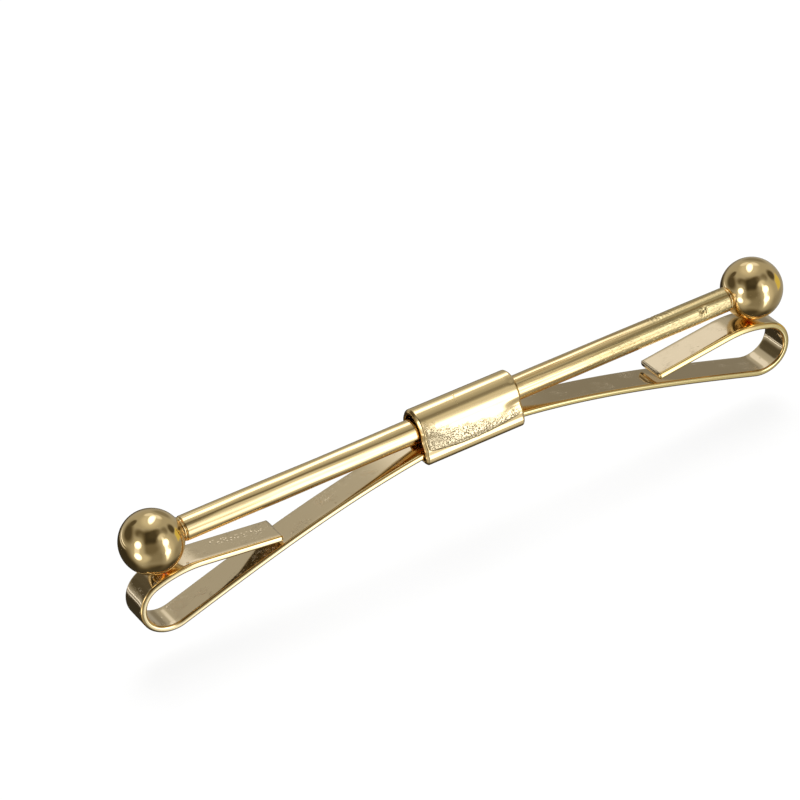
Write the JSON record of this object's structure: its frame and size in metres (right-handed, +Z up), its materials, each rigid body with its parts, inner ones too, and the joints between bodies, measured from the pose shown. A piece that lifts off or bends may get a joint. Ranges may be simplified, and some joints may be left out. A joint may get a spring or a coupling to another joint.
{
  "type": "tie clip",
  "caption": "Sprung bar clip for a tie or shirt collar: ball-ended bar, crimped sleeve and a flat spring whose looped arms grip under the balls.",
  "frame": {"origin": "centre of the footprint, on the surface that the two spring loops stand on", "axes": "+X along the bar, towards the right ball; +Y across the spring; +Z up, from the loops to the bar"},
  "size_m": [0.0586, 0.005, 0.0099],
  "materials": {
    "bar_gold": "gold plated and polished, with fine pits along the right half",
    "ball_gold": "gold plated, mirror polished",
    "solder_gold": "plated solder bead, rough and reddish",
    "sleeve_gold": "gold plated and polished, with a grainy band along each flank",
    "spring_gold": "gold plated strip, smooth faces and bright edges"
  },
  "bodies": {
    "bar_and_sleeve": {"bar": "bar_gold", "left_ball": "ball_gold", "right_ball": "ball_gold", "left_solder_ring": "solder_gold", "right_solder_ring": "solder_gold", "sleeve": "sleeve_gold", "spring_seat": "spring_gold"},
    "left_arm": {"left_arm": "spring_gold"},
    "right_arm": {"right_arm": "spring_gold"}
  },
  "joints": [
    {"name": "left_arm_flex", "type": "hinge", "parent": "bar_and_sleeve", "child": "left_arm", "pos_m": [-0.0044, 0, 0.00577], "axis": [0, -1, 0], "range_deg": [0, 7], "stiffness_Nm_per_rad": 0.56, "springref_deg": -0.57},
    {"name": "right_arm_flex", "type": "hinge", "parent": "bar_and_sleeve", "child": "right_arm", "pos_m": [0.0044, 0, 0.00577], "axis": [0, 1, 0], "range_deg": [0, 7], "stiffness_Nm_per_rad": 0.56, "springref_deg": -0.57}
  ]
}
